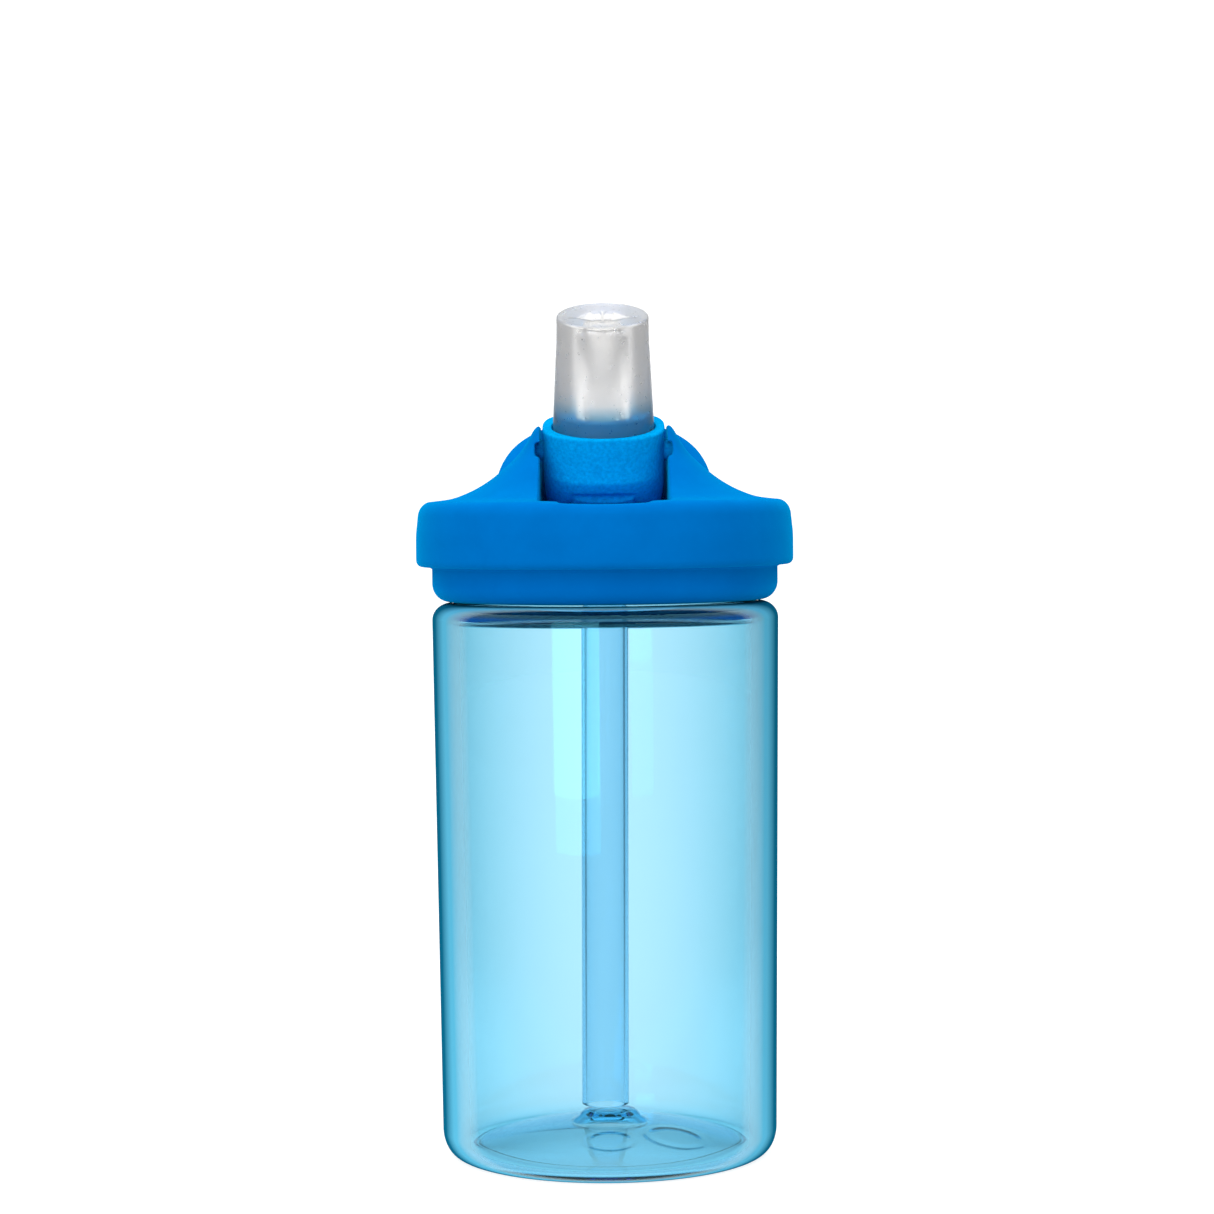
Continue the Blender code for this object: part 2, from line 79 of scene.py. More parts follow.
# Bottle
FOOT_R = BODY_R - 1.35
WALL, FLOOR = 1.7, 2.0
SHOULDER_Z, SHOULDER_TOP_Z, SHOULDER_R = 113.6, 117.2, 3.8
INNER_SHOULDER_R, INNER_SHOULDER_RISE = 4.6, 3.0
STAND_R_IN, STAND_R_OUT, HEEL_Z = 29.0, 32.0, 5.6
INNER_HEEL_R, INNER_HEEL_Z, INNER_LOW_Z = STAND_R_OUT - 0.8, 6.4, 1.95
DOME_Z, DOME_R, DOME_EDGE_R, DOME_STEPS = 7.0, 88.0, 27.4, 60
NUB_R, NUB_Z = 7.4, 9.0
NECK_R, NECK_BORE_R, NECK_ROUND = 31.0, 29.0, 0.5
EMBOSS_LIFT = 0.07
EMBOSS_RINGS = ((0.0, -14.0, 4.7, 0.9), (13.5, -9.5, 5.8, 1.0))  # x, y, radius and half width

# Middle of the bottle's wall, which tells its outer face from its inner one: the radius at the
# stand, above the heel, under the shoulder and on top of it
MIDDLE_FOOT_R, MIDDLE_HEEL_R, MIDDLE_TOP_R, MIDDLE_NECK_R = 32.5, 34.5, 36.1, 32.6
MIDDLE_HEEL_Z, MIDDLE_BLUR = 2.5, 0.2

# Screw thread
LEAD, THREAD_H, THREAD_ROOT, THREAD_CREST = 4.5, 1.5, 2.2, 1.0
MALE_Z, MALE_TURNS = 121.4, 1.2
FEMALE_Z, FEMALE_TURNS, FEMALE_R = 119.7, 1.0, 33.0

# Liner
SKIRT_R, LINER_R, BEAD_R = 36.9, 37.6, 38.2
DECK_Z, DECK_TOP_Z = 131.7, 133.5
PORT_R, PORT_BORE_R, SEAL_R, SEAL_Z = 7.4, 3.0, 5.6, 134.3
SOCKET_Z, SOCKET_TOP_Z, SOCKET_R, SOCKET_BORE_R = 121.0, 131.0, 6.8, 5.3
STRAW_BORE_R = 4.0
VENT_Y, VENT_HOLE_R = 20.0, 1.3
GAP = 0.3

# Cap shell
COLLAR_TOP_Z, COLLAR_BORE_R = 138.9, 38.0
SKIN, CHEEK = 2.0, 3.4
# Saddle sections: height, half width, reach to the front, reach to the back, squareness
SADDLE = (
    (138.92, 36.4, 36.2, 36.4, 2.0),
    (139.4, 32.8, 31.6, 32.6, 2.2),
    (140.3, 30.0, 28.4, 29.6, 2.4),
    (141.9, 26.6, 24.0, 26.2, 2.7),
    (144.4, 22.9, 19.2, 22.6, 3.1),
    (148.5, 18.4, 13.8, 19.0, 3.6),
    (151.6, 16.2, 11.0, 17.4, 4.0),
    (153.6, 15.1, 9.6, 16.6, 4.0),
    (154.6, 14.3, 8.4, 15.8, 4.0),
    (154.95, 13.5, 7.4, 15.1, 4.0),
)
POCKET_X, POCKET_FLOOR_Z, POCKET_R, POCKET_BACK_Y, POCKET_CORNER = 13.6, 135.4, 35.6, 13.7, 4.0
LIP_SAG, LIP_SCOOP_R, LIP_Y = 0.75, 150.0, -34.5
LOOP_Y, LOOP_Z, LOOP_TILT = 20.7, 143.6, math.radians(33)
LOOP_R, LOOP_HALF_W, LOOP_HALF_T, LOOP_END = 20.0, 3.1, 2.5, math.radians(-15)

# Spout and valve, about the hinge
LEAN = math.radians(15)
BARREL_R, BARREL_W, SPOUT_POWERS = 13.1, -13.0, (2.3, 3.3)
SPOUT_HALF_X, RIM_SPREAD, FOOT_TUCK = 12.8, 0.35, 1.2
UNDERCUT_R, UNDERCUT_DROP, PAD_HALF_X, PAD_HALF_Y = 12.0, 10.1, 6.3, 6.5
FACE_REACH, FACE_FLARE = 12.02, 0.28
ARCH_RISE, ARCH_X, ARCH_FOOT_X = 0.6, 8.3, 11.0
RIM_W, SPOUT_FLOOR_W, RIM_BORE_R = 5.2, -1.5, 11.15
STEM_R, STEM_BORE_R, STEM_W = 7.0, 3.0, 7.5
PIN_R, PIN_HOLE_R, PIN_HOLE_X = 2.2, 2.5, 15.6
GROOVE_HALF, GROOVE_X = 1.5, 14.6
VALVE_W, VALVE_TOP_W, VALVE_R, VALVE_TOP_R = -1.2, 29.3, 10.8, 9.75
VALVE_BORE_R, VALVE_LIP = 4.0, 2.6
VALVE_SLANT = math.tan(math.radians(4.5))
VALVE_EDGE = 0.55
STRAW_TILT = 0.0075  # it hangs a little to the left in its socket
WET = 0.25  # how far the silicone goes into the stem, so that no air shows between them

# Moulded pieces: two near shades, which cloud into each other
LID_BLUES = (0.0, 0.140, 0.490), (0.0, 0.152, 0.525)
LINER_BLUES = (0.0, 0.136, 0.500), (0.0, 0.147, 0.530)
# Painted shade on the liner's inner wall and thread: its deep blue, and the radii in millimetres over
# which it gives way to the liner's own blue
LINER_PAINTED_SHADE, LINER_PAINTED_SHADE_R = (0.0, 0.04, 0.09), (34.0, 35.0)
SPOUT_BLUES = (0.0, 0.300, 0.720), (0.0, 0.400, 0.890)
# Their grain: features per metre, depth in millimetres and strength
LID_GRAIN, LINER_GRAIN, SPOUT_GRAIN = (2400, 0.02, 0.25), (2400, 0.02, 0.2), (1500, 0.20, 0.9)
SHEEN_WEIGHT, SHEEN_ROUGHNESS, SHEEN_TINT = 0.48, 0.4, (0.0, 0.60, 1.0)

# Silicones
VALVE_GREYS = (0.93, 0.92, 0.90), (0.99, 0.98, 0.96)
SEAL_GREYS = (0.55, 0.56, 0.56), (0.62, 0.63, 0.63)
FOOT_PAINTED_SHOW_THROUGH = (0.10, 0.42, 0.60)  # painted holder blue on the foot of the mouthpiece, standing for the holder that shows through it
FOOT_ENDS = (7.8, 11.8)  # between these heights above the hinge, along the spout

# Clear materials: what a metre of each takes from red, green and blue light
BOTTLE_LOSS = (295.0, 94.0, 28.0)
STRAW_LOSS = (300.0, 120.0, 45.0)
VALVE_LOSS = (2.0, 2.0, 2.0)
BOTTLE_IOR, STRAW_IOR, VALVE_IOR = 1.54, 1.25, 1.41
BOTTLE_GLOSS = (0.15, 0.65, 0.85)
BOTTLE_SLANT_TINT_AND_SHADE = (0.12, 0.58, 0.66)  # tint of the clear plastic's skin where it is seen slantwise, partly for its longer path through the tinted plastic and partly painted edge shade
# Painted edge shade: nearer its very edge the outer skin sets in as an opaque colour, pale and then deep,
# set by the angle of view
RIM_SHADE_PALE, RIM_SHADE_DEEP = (0.095, 0.45, 0.66), (0.003, 0.130, 0.235)
RIM_SHADE_SETS_IN, RIM_SHADE_DEEPENS = (0.40, 0.62), (0.66, 0.82)

# Camera, from the photograph's perspective
CAMERA_DISTANCE, CAMERA_HEIGHT = 0.655, 0.1406
FRAME_WIDTH = 0.2597  # what the frame takes in at the bottle's axis
HORIZON_SHIFT, AXIS_SHIFT = -0.0947, 0.0024
CAMERA_ROLL = math.radians(0.54)
SENSOR = 36.0  # in millimetres

# Room: how brightly each side of it glows, and between which direction cosines that sets in
ROOM_GLOW, FLOOR_GLOW = 0.22, 0.82
BEHIND_GLOW, BEHIND_EDGE = 1.05, (0.88, 0.96)
ABOVE_GLOW, ABOVE_EDGE = 1.68, (0.35, 0.70)
FRONT_GLOW, FRONT_EDGE = 0.27, (0.40, 0.80)

# Floor: two near greys, and a glowing wedge that widens from the camera to the back, in metres
FLOOR_GREYS = (0.31, 0.31, 0.31), (0.33, 0.33, 0.33)
FLOOR_R = 3.0
WEDGE_HALF, WEDGE_SPREAD, WEDGE_BLUR, WEDGE_FRONT = 0.03, 0.21, 0.12, (-0.11, -0.06)

# The one lamp: place, size and watts
LAMP_AT, LAMP_SIZE, LAMP_POWER = (-0.30, -0.85, 0.22), (0.5, 0.5), 2.9
LAMP_AIM = (0, 0, 0.11)


# ---------------------------------------------------------------- mesh tools


def object_of(name, data, smooth=True):
    """An object of the bmesh, which is freed."""
    bmesh.ops.recalc_face_normals(data, faces=data.faces)
    mesh = bpy.data.meshes.new(name)
    data.to_mesh(mesh)
    data.free()
    if smooth:
        mesh.shade_smooth()
    made = bpy.data.objects.new(name, mesh)
    bpy.context.scene.collection.objects.link(made)
    return made


def turned(profile, steps):
    """A bmesh turned about Z from (radius, height) points: a loop, or a line from axis to axis."""
    data = bmesh.new()
    on_axis = profile[0][0] == 0 and profile[-1][0] == 0
    rings = []
    for r, z in profile:
        if r == 0:
            rings.append([data.verts.new((0, 0, z * MM))] * steps)
            continue
        turn = [2 * math.pi * k / steps for k in range(steps)]
        rings.append([data.verts.new((r * math.cos(a) * MM, r * math.sin(a) * MM, z * MM)) for a in turn])
    pairs = list(zip(rings, rings[1:]))
    if not on_axis:
        pairs.append((rings[-1], rings[0]))
    for one, two in pairs:
        for i in range(steps):
            j = (i + 1) % steps
            corners = list(dict.fromkeys((one[i], one[j], two[j], two[i])))
            if len(corners) > 2:
                data.faces.new(corners)
    return data


def lofted(rings):
    """A bmesh skinned over rings of points in millimetres, with both ends capped."""
    data = bmesh.new()
    made = [[data.verts.new(Vector(p) * MM) for p in ring] for ring in rings]
    for one, two in zip(made, made[1:]):
        for i, corner in enumerate(one):
            j = (i + 1) % len(one)
            data.faces.new((corner, one[j], two[j], two[i]))
    data.faces.new(made[0])
    data.faces.new(made[-1])
    return data


def prism(outline, low, high, axis="Z"):
    """A bmesh of an outline drawn across an axis and extruded along it from low to high."""
    spot = {
        "X": lambda u, v, t: (t, u, v),
        "Y": lambda u, v, t: (u, t, v),
        "Z": lambda u, v, t: (u, v, t),
    }[axis]
    return lofted([[spot(u, v, t) for u, v in outline] for t in (low, high)])


def box(low, high):
    """A bmesh of a plain block between two corners, used only to cut."""
    corners = [(low[0], low[1]), (high[0], low[1]), (high[0], high[1]), (low[0], high[1])]
    return prism(corners, low[2], high[2])


def arc(centre, radii, start, end, steps):
    """Points of an elliptical arc, angles in degrees, both ends included."""
    angles = [math.radians(start + (end - start) * k / steps) for k in range(steps + 1)]
    return [(centre[0] + radii[0] * math.cos(a), centre[1] + radii[1] * math.sin(a)) for a in angles]


def rounded(profile, radius, steps=4):
    """The profile with each corner cut back to a small curve."""
    found = []
    count = len(profile)
    for i, here in enumerate(profile):
        if here[0] == 0:
            found.append(here)
            continue
        here = Vector(here)
        before = Vector(profile[i - 1]) - here
        after = Vector(profile[(i + 1) % count]) - here
        reach = min(radius, before.length * 0.45, after.length * 0.45)
        turn = before.angle(-after) if before.length and after.length else 0
        if turn < 0.2 or reach < 0.02:
            found.append(tuple(here))
            continue
        start = here + before.normalized() * reach
        end = here + after.normalized() * reach
        for k in range(steps + 1):
            t = k / steps
            found.append(tuple(start * (1 - t) ** 2 + here * 2 * t * (1 - t) + end * t**2))
    return found


def oval(half_x, front, back, powers, steps):
    """A closed superellipse with its own reach and squareness to -Y and to +Y."""
    found = []
    for k in range(steps):
        a = 2 * math.pi * (k + 0.5) / steps
        c, s = math.cos(a), math.sin(a)
        depth, power = (back, powers[1]) if s > 0 else (front, powers[0])
        x = half_x * math.copysign(abs(c) ** (2 / power), c)
        y = depth * math.copysign(abs(s) ** (2 / power), s)
        found.append((x, y))
    return found


def rod(radius, low, high, axis="Z", steps=96, at=(0, 0)):
    """A bmesh of a round bar along an axis."""
    return prism(arc(at, (radius, radius), 0, 360, steps)[:-1], low, high, axis)


def combine(target, data, operation):
    """Cuts a bmesh out of an object or joins it on, and applies the result."""
    other = data if isinstance(data, bpy.types.Object) else object_of("tool", data)
    step = target.modifiers.new("boolean", "BOOLEAN")
    step.operation = operation
    step.object = other
    step.solver = "EXACT"
    bake(target)
    bpy.data.objects.remove(other)


def cut(target, data):
    combine(target, data, "DIFFERENCE")


def add(target, data):
    combine(target, data, "UNION")


def bake(target):
    """Puts the modifiers' result into the mesh."""
    bpy.context.view_layer.update()
    graph = bpy.context.evaluated_depsgraph_get()
    mesh = bpy.data.meshes.new_from_object(target.evaluated_get(graph))
    target.modifiers.clear()
    old = target.data
    target.data = mesh
    bpy.data.meshes.remove(old)
    mesh.shade_smooth()


def soften(target, voxel, passes):
    """Rebuilds a carved solid on a fine grid and relaxes it, so that each edge is a moulded round."""
    step = target.modifiers.new("remesh", "REMESH")
    step.mode = "VOXEL"
    step.voxel_size = voxel * MM
    step.use_smooth_shade = True
    ease = target.modifiers.new("ease", "SMOOTH")
    ease.factor = 0.5
    ease.iterations = passes
    bake(target)


def leaned(target):
    """Puts a piece drawn about the hinge in its place on the lid."""
    turn = Matrix.Translation((0, 0, HINGE_Z * MM)) @ Matrix.Rotation(LEAN, 4, "X")
    target.data.transform(turn)


def thread_ridge(radius, outward, start_z, turns, steps=120):
    """A screw ridge that fades out at both ends: outward is 1 on a neck and -1 in a bore."""
    root = radius - outward * 0.4
    count = round(steps * turns)
    rings = []
    for k in range(count + 1):
        a = 2 * math.pi * turns * k / count
        middle = start_z + LEAD * turns * k / count
        swell = min(1.0, 0.15 + 8 * min(k, count - k) / count)
        crest = radius + outward * THREAD_H * swell
        section = (
            (root, middle - THREAD_ROOT / 2),
            (crest, middle - THREAD_CREST / 2),
            (crest, middle + THREAD_CREST / 2),
            (root, middle + THREAD_ROOT / 2),
        )
        rings.append([(r * math.cos(a), r * math.sin(a), z) for r, z in section])
    return lofted(rings)


# ---------------------------------------------------------------- pieces


def floor_z(radius):
    """Height of the domed floor's upper face."""
    return DOME_Z - (DOME_R - math.sqrt(DOME_R**2 - radius**2))


def emboss(data):
    """Two raised rings under the floor, as moulders leave there."""
    for corner in data.verts:
        x, y, z = corner.co / MM
        if math.hypot(x, y) > STAND_R_IN - 2 or z > floor_z(min(math.hypot(x, y), 28)) - 1.0:
            continue
        lift = 0.0
        for ring_x, ring_y, ring_r, half in EMBOSS_RINGS:
            off = (math.hypot(x - ring_x, y - ring_y) - ring_r) / half
            lift = max(lift, math.exp(-(off**2)))
        corner.co.z -= EMBOSS_LIFT * lift * MM


def bottle_outside(dome):
    """Points up the outer face: boss, dome, standing ring, heel, wall, shoulder and neck."""
    boss_z = NUB_Z - FLOOR
    shoulder = (BODY_R - SHOULDER_R, SHOULDER_Z)
    outside = [(0, boss_z), (1.7, boss_z), (3.4, boss_z - 0.05), (4.9, 6.1), (6.2, 5.1)]
    outside += [(r, floor_z(r) - FLOOR) for r in dome[1:]]
    outside += [(28.1, 0.75), (STAND_R_IN - 0.4, 0.25), (STAND_R_IN, 0.03), (STAND_R_IN + 0.4, 0)]
    outside += arc((STAND_R_OUT, HEEL_Z), (FOOT_R - STAND_R_OUT, HEEL_Z), -90, 0, 16)
    outside += arc(shoulder, (SHOULDER_R, SHOULDER_TOP_Z - SHOULDER_Z), 0, 90, 16)
    outside += [(NECK_R + 0.9, SHOULDER_TOP_Z + 0.1), (NECK_R + 0.2, SHOULDER_TOP_Z + 0.35)]
    outside += [(NECK_R, SHOULDER_TOP_Z + 0.9)]
    top = (NECK_R - NECK_ROUND, NECK_TOP_Z - NECK_ROUND)
    return outside + arc(top, (NECK_ROUND, NECK_ROUND), 0, 90, 5)


def bottle_inside(dome):
    """Points down the inner face, from the neck to the boss."""
    top = (NECK_BORE_R + NECK_ROUND, NECK_TOP_Z - NECK_ROUND)
    shoulder = (BODY_R - WALL - INNER_SHOULDER_R, SHOULDER_Z - 0.9)
    heel = (FOOT_R - WALL - INNER_HEEL_R, INNER_HEEL_Z - INNER_LOW_Z)
    inside = arc(top, (NECK_ROUND, NECK_ROUND), 90, 180, 5)
    inside += [(NECK_BORE_R, SHOULDER_TOP_Z - 0.4), (NECK_BORE_R + 0.3, SHOULDER_TOP_Z - 1.1)]
    inside += [(NECK_BORE_R + 0.9, SHOULDER_TOP_Z - 1.45)]
    inside += arc(shoulder, (INNER_SHOULDER_R, INNER_SHOULDER_RISE), 90, 0, 12)
    inside += arc((INNER_HEEL_R, INNER_HEEL_Z), heel, 0, -90, 14)
    inside += [(30.2, INNER_LOW_Z + 0.02), (29.2, INNER_LOW_Z + 0.10), (28.2, INNER_LOW_Z + 0.30)]
    inside += [(r, floor_z(r)) for r in reversed(dome[2:])]
    inside += [(7.5, 7.0), (6.6, 7.5), (6.0, 8.3), (5.4, 8.75), (4.6, NUB_Z), (2.4, NUB_Z), (0, NUB_Z)]
    return inside


def clear_bottle():
    """Floor with its boss and heel, tapered wall, shoulder and threaded neck, one closed skin."""
    dome = [NUB_R + (DOME_EDGE_R - NUB_R) * k / DOME_STEPS for k in range(DOME_STEPS + 1)]
    data = turned(bottle_outside(dome) + bottle_inside(dome), 192)
    emboss(data)
    bottle = object_of("clear_bottle", data)
    add(bottle, thread_ridge(NECK_R, 1, MALE_Z, MALE_TURNS))
    return bottle


def screw_liner():
    """Threaded liner of the lid: skirt, deck, port for the seal and socket for the straw."""
    corner_r = SKIRT_R - 3.5
    profile = [(SOCKET_BORE_R, SOCKET_Z), (SOCKET_BORE_R, SOCKET_TOP_Z)]
    profile += [(PORT_BORE_R, SOCKET_TOP_Z), (PORT_BORE_R, SEAL_Z - GAP)]
    profile += [(SEAL_R + GAP, SEAL_Z - GAP), (SEAL_R + GAP, PORT_TOP_Z), (PORT_R, PORT_TOP_Z)]
    profile += [(PORT_R, DECK_TOP_Z), (34.7, DECK_TOP_Z)]
    profile += [(34.7, 120.4), (35.3, 120.4), (35.7, 122.4), (35.7, DECK_TOP_Z)]
    profile += [(LINER_R, DECK_TOP_Z), (LINER_R, 131.0), (BEAD_R, 130.3), (BEAD_R, 129.7)]
    profile += [(LINER_R, 129.0), (LINER_R, COLLAR_Z + 0.2), (LINER_R - 0.4, COLLAR_Z - 0.4)]
    profile = rounded(profile, 0.3)
    profile += arc((corner_r, 121.4), (3.5, 121.4 - SKIRT_Z), 0, -90, 14)
    profile += [(FEMALE_R + 0.1, SKIRT_Z + 0.1), (FEMALE_R, SKIRT_Z + 0.4), (FEMALE_R, DECK_Z - 0.3)]
    profile += [(FEMALE_R - 0.3, DECK_Z), (27.5, DECK_Z), (27.5, 130.2), (26.4, 130.2), (26.4, DECK_Z)]
    profile += [(SOCKET_R + 0.4, DECK_Z), (SOCKET_R, DECK_Z - 0.4), (SOCKET_R, SOCKET_Z)]
    liner = object_of("screw_liner", turned(profile, 192))
    add(liner, thread_ridge(FEMALE_R, -1, FEMALE_Z, FEMALE_TURNS))
    cut(liner, rod(VENT_HOLE_R, DECK_Z - 3, DECK_TOP_Z + 3, steps=32, at=(0, VENT_Y)))
    return liner


def smooth_sections(count):
    """The saddle's sections, filled in by a curve that never overshoots."""
    rows = np.array(SADDLE)
    steps = np.arange(len(rows), dtype=float)
    fine = np.linspace(0, len(rows) - 1, count)
    found = []
    for column in rows.T:
        slope = np.gradient(column, steps)
        i = np.minimum(fine.astype(int), len(rows) - 2)
        t = fine - i
        a, b = column[i], column[i + 1]
        rise = b - a
        m0 = np.clip(slope[i], np.minimum(0, 3 * rise), np.maximum(0, 3 * rise))
        m1 = np.clip(slope[i + 1], np.minimum(0, 3 * rise), np.maximum(0, 3 * rise))
        curve = (2 * t**3 - 3 * t**2 + 1) * a + (t**3 - 2 * t**2 + t) * m0
        curve += (3 * t**2 - 2 * t**3) * b + (t**3 - t**2) * m1
        found.append(curve)
    return np.array(found).T


def bell(foot_z, inset, rise):
    """The saddle as a solid bell, or, set in from its skin, as the hollow under it."""
    sections = smooth_sections(46)
    rings = [[(x, y, foot_z) for x, y in oval(*(sections[0][1:4] - inset), [2.0, 2.0], 128)]]
    for z, half_x, front, back, power in sections:
        ring = oval(half_x - inset, front - inset, back - inset, (power, power), 128)
        rings.append([(x, y, z - rise) for x, y in ring])
    return lofted(rings)


def loop_ring():
    """The carry loop: a rounded bar swept round the rear of a tilted circle."""
    rings = []
    steps = 90
    for k in range(steps + 1):
        a = LOOP_END + (math.pi - 2 * LOOP_END) * k / steps
        root = min(k, steps - k) / steps
        flare = 1 + 0.5 * max(0.0, 1 - root / 0.16) ** 2
        ring = []
        for u, w in oval(LOOP_HALF_W * flare, LOOP_HALF_T, LOOP_HALF_T, (2.6, 2.6), 32):
            reach = LOOP_R + u
            v = reach * math.sin(a)
            y = LOOP_Y + v * math.cos(LOOP_TILT) - w * math.sin(LOOP_TILT)
            z = LOOP_Z + v * math.sin(LOOP_TILT) + w * math.cos(LOOP_TILT)
            ring.append((reach * math.cos(a), y, z))
        rings.append(ring)
    return lofted(rings)


def pocket():
    """The space that the spout turns in, open to the top."""
    corner = math.degrees(math.asin(POCKET_X / POCKET_R))
    outline = arc((0, 0), (POCKET_R, POCKET_R), -90 - corner, -90 + corner, 24)
    x, y = POCKET_X - POCKET_CORNER, POCKET_BACK_Y - POCKET_CORNER
    outline += arc((x, y), (POCKET_CORNER, POCKET_CORNER), 0, 90, 10)
    outline += arc((-x, y), (POCKET_CORNER, POCKET_CORNER), 90, 180, 10)
    return prism(outline, POCKET_FLOOR_Z, 170)


def cap():
    """Collar, saddle with its two cheeks, and the carry loop, one moulding."""
    bore = COLLAR_BORE_R
    deck = DECK_TOP_Z + GAP
    profile = [(0, deck), (bore, deck), (bore, 131.6), (bore + 0.5, 131.0)]
    profile += [(bore + 0.5, 129.0), (bore, 128.4), (bore, COLLAR_Z + 0.4), (bore + 0.3, COLLAR_Z)]
    profile += arc((COLLAR_R - 1.2, COLLAR_Z + 1.4), (1.2, 1.4), -90, 0, 8)
    profile += [(COLLAR_R, 128.8), (COLLAR_R, 130.8), (COLLAR_R - 0.06, 132.2)]
    profile += arc((COLLAR_R - 3.4, 135.4), (3.0, COLLAR_TOP_Z - 135.4), 0, 90, 14)
    profile += [(35.0, COLLAR_TOP_Z - 0.1), (0, COLLAR_TOP_Z - 0.1)]
    shell = object_of("cap", turned(profile, 160))
    add(shell, bell(deck + 3, 0, 0))
    hollow = object_of("hollow", bell(deck - 2, SKIN + 0.2, SKIN))
    wall_x, wall_y = POCKET_X + CHEEK, POCKET_BACK_Y + SKIN
    cut(hollow, box((-wall_x, -60, 100), (wall_x, wall_y, 170)))
    cut(shell, hollow)
    add(shell, loop_ring())
    cut(shell, pocket())
    cut(shell, rod(LIP_SCOOP_R, -60, LIP_Y, "Y", 512, (0, COLLAR_TOP_Z - LIP_SAG + LIP_SCOOP_R)))
    cut(shell, rod(PORT_R + GAP, 130, 137))
    cut(shell, rod(PIN_HOLE_R, -PIN_HOLE_X, PIN_HOLE_X, "X", 48, (0, HINGE_Z)))
    low, high = HINGE_Z - GROOVE_HALF, HINGE_Z + GROOVE_HALF
    cut(shell, box((-GROOVE_X, -30, low), (GROOVE_X, 0, high)))
    soften(shell, 0.34, 7)
    return shell


def spout_ring(w, size=1.0):
    """Outline of the spout at a height above the hinge, kept inside the circle that it turns in."""
    reach = math.sqrt(BARREL_R**2 - w**2)
    flare = FACE_FLARE * min(1.0, max(0.0, -(w + 0.5) / 4)) ** 2
    face = min(reach, FACE_REACH + flare)
    spread = RIM_SPREAD * max(0.0, (w + 1) / (RIM_W + 1)) ** 2
    tuck = FOOT_TUCK * max(0.0, (w + 6) / (BARREL_W + 6)) ** 2
    plan = oval(SPOUT_HALF_X + spread - tuck, face, reach, SPOUT_POWERS, 160)
    return [(x * size, y * size, w) for x, y in plan]


def upright(data):
    """Turns a tool back, so that once the spout leans it is square to the bottle."""
    bmesh.ops.rotate(data, cent=(0, 0, 0), matrix=Matrix.Rotation(-LEAN, 3, "X"), verts=data.verts)
    return data


def spout():
    """Barrel between the cheeks, with the rim and stem that hold the valve, and two pins."""
    rings = [spout_ring(BARREL_W + (RIM_W - 0.4 - BARREL_W) * k / 40) for k in range(41)]
    rings.append(spout_ring(RIM_W, 0.97))
    body = object_of("spout", lofted(rings))
    waste = object_of("waste", rod(BARREL_R + 2, -20, 20, "X", 256))
    cut(waste, rod(UNDERCUT_R, -22, 22, "X", 256))
    cut(waste, upright(box((-PAD_HALF_X, -PAD_HALF_Y, -30), (PAD_HALF_X, PAD_HALF_Y, 0))))
    low = -UNDERCUT_DROP
    arch = [(-30, low), (-ARCH_FOOT_X, low), (-ARCH_X, low + ARCH_RISE), (ARCH_X, low + ARCH_RISE)]
    arch += [(ARCH_FOOT_X, low), (30, low), (30, 30), (-30, 30)]
    cut(waste, upright(prism(arch, -30, 30, "Y")))
    cut(body, waste)
    cut(body, rod(RIM_BORE_R, SPOUT_FLOOR_W, 20))
    add(body, rod(STEM_R, SPOUT_FLOOR_W - 1, STEM_W))
    root = RIM_BORE_R + 0.6
    add(body, rod(PIN_R, root, PIN_X, "X", 48))
    add(body, rod(PIN_R, -PIN_X, -root, "X", 48))
    cut(body, rod(STEM_BORE_R, -2, 20))
    cut(body, upright(rod(STEM_BORE_R, -30, 1.5)))
    soften(body, 0.2, 6)
    leaned(body)
    return body


def mouthpiece():
    """Soft bite valve: hollow, with a slanted crown and thin petals under a cross slit."""
    profile = [(STEM_R - WET, VALVE_W), (VALVE_R - 0.4, VALVE_W), (VALVE_R, VALVE_W + 0.4)]
    profile += [(VALVE_R, RIM_W - 2), (VALVE_R - 0.03, RIM_W + 1), (VALVE_TOP_R + 0.1, 24.0)]
    profile += [(VALVE_TOP_R + 0.02, VALVE_TOP_W - VALVE_EDGE)]
    round_at = (VALVE_TOP_R + 0.02 - VALVE_EDGE, VALVE_TOP_W - VALVE_EDGE)
    profile += arc(round_at, (VALVE_EDGE, VALVE_EDGE), 12, 90, 8)
    profile += [(8.9, VALVE_TOP_W - 0.02), (8.4, VALVE_TOP_W - 0.16), (7.6, VALVE_TOP_W - 0.2)]
    profile += [(5.0, VALVE_TOP_W - 0.3), (0, VALVE_TOP_W - 0.35)]
    under = VALVE_TOP_W - VALVE_LIP
    profile += [(0, under), (2.2, under), (3.2, under - 0.2), (3.7, under - 0.6)]
    profile += [(VALVE_BORE_R, under - 1.2), (VALVE_BORE_R, STEM_W - WET)]
    profile += [(STEM_R - WET, STEM_W - WET)]
    data = turned(profile, 160)
    for corner in data.verts:
        if corner.co.z > (VALVE_TOP_W - 5.5) * MM:
            corner.co.z += corner.co.y * VALVE_SLANT
    valve = object_of("mouthpiece", data)
    # The petals: a bow-tie hollow sunk in the crown, with the cross slit at its middle
    low, high = VALVE_TOP_W - 1.1, VALVE_TOP_W + 4
    bow = [(-5.7, -0.9), (-1.9, -2.9), (-1.9, -2.2), (1.9, -2.2), (1.9, -2.9), (5.7, -0.9)]
    bow += [(2.4, 2.8), (1.5, 0.9), (-1.5, 0.9), (-2.4, 2.8)]
    cut(valve, prism(bow, low, high))
    low = VALVE_TOP_W - 5
    cut(valve, box((-3.3, -0.22, low), (3.3, 0.22, high)))
    cut(valve, box((-0.22, -3.3, low - 0.5), (0.22, 3.3, high + 0.5)))
    leaned(valve)
    return valve


